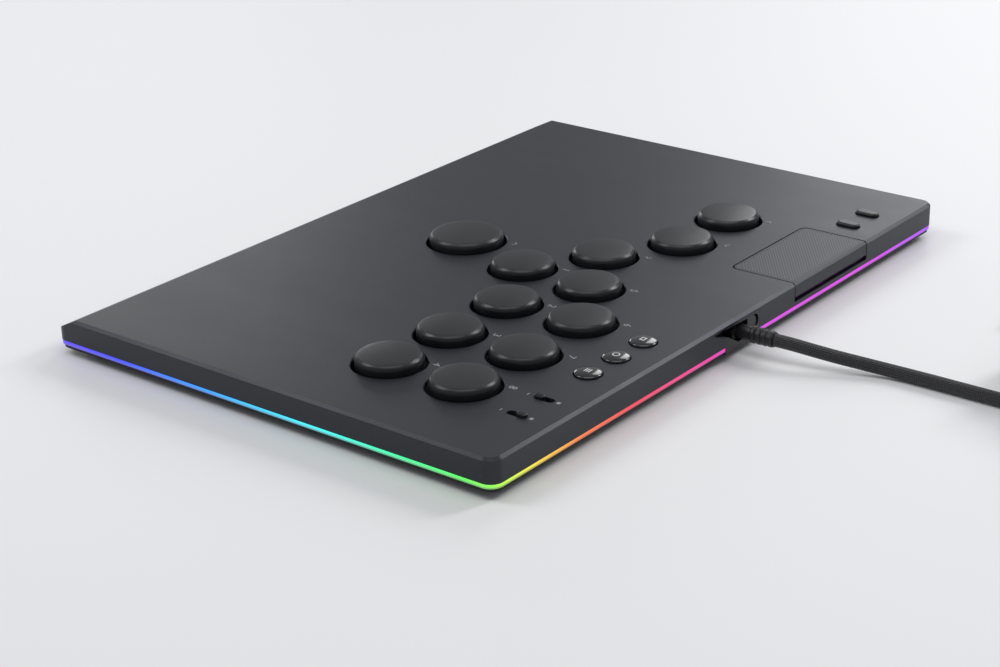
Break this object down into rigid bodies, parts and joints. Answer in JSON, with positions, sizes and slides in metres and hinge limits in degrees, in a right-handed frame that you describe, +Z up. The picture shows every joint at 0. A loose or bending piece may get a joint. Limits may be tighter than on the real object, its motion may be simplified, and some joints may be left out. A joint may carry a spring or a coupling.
{
  "type": "all-button arcade controller",
  "caption": "Slim slab arcade controller with round press buttons, small keys, slide switches, a click pad, an edge light and a plug-in braided cable.",
  "frame": {"origin": "on the table, under the middle of the slab (cable left out)", "axes": "+X to the player's right, along the slab's length; +Y away from the player, towards the cable; +Z up"},
  "size_m": [0.296, 0.3793, 0.0219],
  "materials": {
    "shell_metal": "fine satin anodised",
    "base_metal": "matt",
    "mat_rubber": "matt, fine pattern",
    "light_lens": "glowing, colour changes round the edge",
    "strip_white": "satin",
    "board_green": "lacquered",
    "chip_black": "matt",
    "bright_metal": "bright",
    "port_plastic": "satin",
    "switch_plastic": "satin",
    "spring_steel": "bright",
    "cap_black": "satin, fine grain on the crown",
    "stem_red": "satin",
    "key_gloss": "gloss",
    "pad_matt": "fine woven dots",
    "cord_black": "braided",
    "plug_black": "satin",
    "strap_black": "woven",
    "screw_steel": "dark"
  },
  "bodies": {
    "case": {"top_shell": "shell_metal", "base_plate": "base_metal", "grip_mat": "mat_rubber", "light_lens": "light_lens", "light_strip": "strip_white", "main_board": "board_green", "board_parts": "chip_black", "usb_socket": "bright_metal", "port_block": "port_plastic", "switch_housings": "switch_plastic", "return_springs": "spring_steel", "slide_switch_bodies": "switch_plastic", "click_switches": "switch_plastic", "case_screws": "screw_steel", "board_screws": "bright_metal", "cable": "cord_black", "cable_coil": "cord_black", "cable_tail": "cord_black", "cable_tie": "strap_black", "plug_head": "plug_black", "plug_shell": "bright_metal", "strain_relief": "plug_black", "host_plug_body": "plug_black", "host_plug_shell": "bright_metal", "host_plug_relief": "plug_black"},
    "left_button": {"left_cap": "cap_black", "left_stem": "stem_red"},
    "down_button": {"down_cap": "cap_black", "down_stem": "stem_red"},
    "right_button": {"right_cap": "cap_black", "right_stem": "stem_red"},
    "jump_button": {"jump_cap": "cap_black", "jump_stem": "stem_red"},
    "action_1_button": {"action_1_cap": "cap_black", "action_1_stem": "stem_red"},
    "action_2_button": {"action_2_cap": "cap_black", "action_2_stem": "stem_red"},
    "action_3_button": {"action_3_cap": "cap_black", "action_3_stem": "stem_red"},
    "action_4_button": {"action_4_cap": "cap_black", "action_4_stem": "stem_red"},
    "action_5_button": {"action_5_cap": "cap_black", "action_5_stem": "stem_red"},
    "action_6_button": {"action_6_cap": "cap_black", "action_6_stem": "stem_red"},
    "action_7_button": {"action_7_cap": "cap_black", "action_7_stem": "stem_red"},
    "action_8_button": {"action_8_cap": "cap_black", "action_8_stem": "stem_red"},
    "menu_key_1_body": {"menu_key_1": "key_gloss"},
    "menu_key_2_body": {"menu_key_2": "key_gloss"},
    "menu_key_3_body": {"menu_key_3": "key_gloss"},
    "pill_key_1_body": {"pill_key_1": "cap_black"},
    "pill_key_2_body": {"pill_key_2": "cap_black"},
    "slide_knob_1_body": {"slide_knob_1": "cap_black"},
    "slide_knob_2_body": {"slide_knob_2": "cap_black"},
    "cable_lock_body": {"cable_lock": "port_plastic"},
    "click_pad_body": {"click_pad": "pad_matt", "pad_hinge_pins": "bright_metal"}
  },
  "joints": [
    {"name": "left_press", "type": "slide", "parent": "case", "child": "left_button", "axis": [0, 0, -1], "range_m": [0, 0.0028], "stiffness_N_per_m": 100, "springref_m": -0.003, "deforming": ["return_springs"]},
    {"name": "down_press", "type": "slide", "parent": "case", "child": "down_button", "axis": [0, 0, -1], "range_m": [0, 0.0028], "stiffness_N_per_m": 100, "springref_m": -0.003, "deforming": ["return_springs"]},
    {"name": "right_press", "type": "slide", "parent": "case", "child": "right_button", "axis": [0, 0, -1], "range_m": [0, 0.0028], "stiffness_N_per_m": 100, "springref_m": -0.003, "deforming": ["return_springs"]},
    {"name": "jump_press", "type": "slide", "parent": "case", "child": "jump_button", "axis": [0, 0, -1], "range_m": [0, 0.0028], "stiffness_N_per_m": 100, "springref_m": -0.003, "deforming": ["return_springs"]},
    {"name": "action_1_press", "type": "slide", "parent": "case", "child": "action_1_button", "axis": [0, 0, -1], "range_m": [0, 0.0028], "stiffness_N_per_m": 100, "springref_m": -0.003, "deforming": ["return_springs"]},
    {"name": "action_2_press", "type": "slide", "parent": "case", "child": "action_2_button", "axis": [0, 0, -1], "range_m": [0, 0.0028], "stiffness_N_per_m": 100, "springref_m": -0.003, "deforming": ["return_springs"]},
    {"name": "action_3_press", "type": "slide", "parent": "case", "child": "action_3_button", "axis": [0, 0, -1], "range_m": [0, 0.0028], "stiffness_N_per_m": 100, "springref_m": -0.003, "deforming": ["return_springs"]},
    {"name": "action_4_press", "type": "slide", "parent": "case", "child": "action_4_button", "axis": [0, 0, -1], "range_m": [0, 0.0028], "stiffness_N_per_m": 100, "springref_m": -0.003, "deforming": ["return_springs"]},
    {"name": "action_5_press", "type": "slide", "parent": "case", "child": "action_5_button", "axis": [0, 0, -1], "range_m": [0, 0.0028], "stiffness_N_per_m": 100, "springref_m": -0.003, "deforming": ["return_springs"]},
    {"name": "action_6_press", "type": "slide", "parent": "case", "child": "action_6_button", "axis": [0, 0, -1], "range_m": [0, 0.0028], "stiffness_N_per_m": 100, "springref_m": -0.003, "deforming": ["return_springs"]},
    {"name": "action_7_press", "type": "slide", "parent": "case", "child": "action_7_button", "axis": [0, 0, -1], "range_m": [0, 0.0028], "stiffness_N_per_m": 100, "springref_m": -0.003, "deforming": ["return_springs"]},
    {"name": "action_8_press", "type": "slide", "parent": "case", "child": "action_8_button", "axis": [0, 0, -1], "range_m": [0, 0.0028], "stiffness_N_per_m": 100, "springref_m": -0.003, "deforming": ["return_springs"]},
    {"name": "menu_key_1_press", "type": "slide", "parent": "case", "child": "menu_key_1_body", "axis": [0, 0, -1], "range_m": [0, 0.0006], "stiffness_N_per_m": 500, "springref_m": -0.001},
    {"name": "menu_key_2_press", "type": "slide", "parent": "case", "child": "menu_key_2_body", "axis": [0, 0, -1], "range_m": [0, 0.0006], "stiffness_N_per_m": 500, "springref_m": -0.001},
    {"name": "menu_key_3_press", "type": "slide", "parent": "case", "child": "menu_key_3_body", "axis": [0, 0, -1], "range_m": [0, 0.0006], "stiffness_N_per_m": 500, "springref_m": -0.001},
    {"name": "pill_key_1_press", "type": "slide", "parent": "case", "child": "pill_key_1_body", "axis": [0, 0, -1], "range_m": [0, 0.0006], "stiffness_N_per_m": 500, "springref_m": -0.001},
    {"name": "pill_key_2_press", "type": "slide", "parent": "case", "child": "pill_key_2_body", "axis": [0, 0, -1], "range_m": [0, 0.0006], "stiffness_N_per_m": 500, "springref_m": -0.001},
    {"name": "slide_knob_1_slide", "type": "slide", "parent": "case", "child": "slide_knob_1_body", "axis": [0, -1, 0], "range_m": [0, 0.004]},
    {"name": "slide_knob_2_slide", "type": "slide", "parent": "case", "child": "slide_knob_2_body", "axis": [0, 1, 0], "range_m": [0, 0.004]},
    {"name": "cable_lock_slide", "type": "slide", "parent": "case", "child": "cable_lock_body", "axis": [-1, 0, 0], "range_m": [0, 0.0017]},
    {"name": "click_pad_tilt", "type": "hinge", "parent": "case", "child": "click_pad_body", "pos_m": [-0.0639, 0.0786, 0.0115], "axis": [-1, 0, 0], "range_deg": [0, 1.1], "stiffness_Nm_per_rad": 0.6, "springref_deg": -1.15}
  ]
}
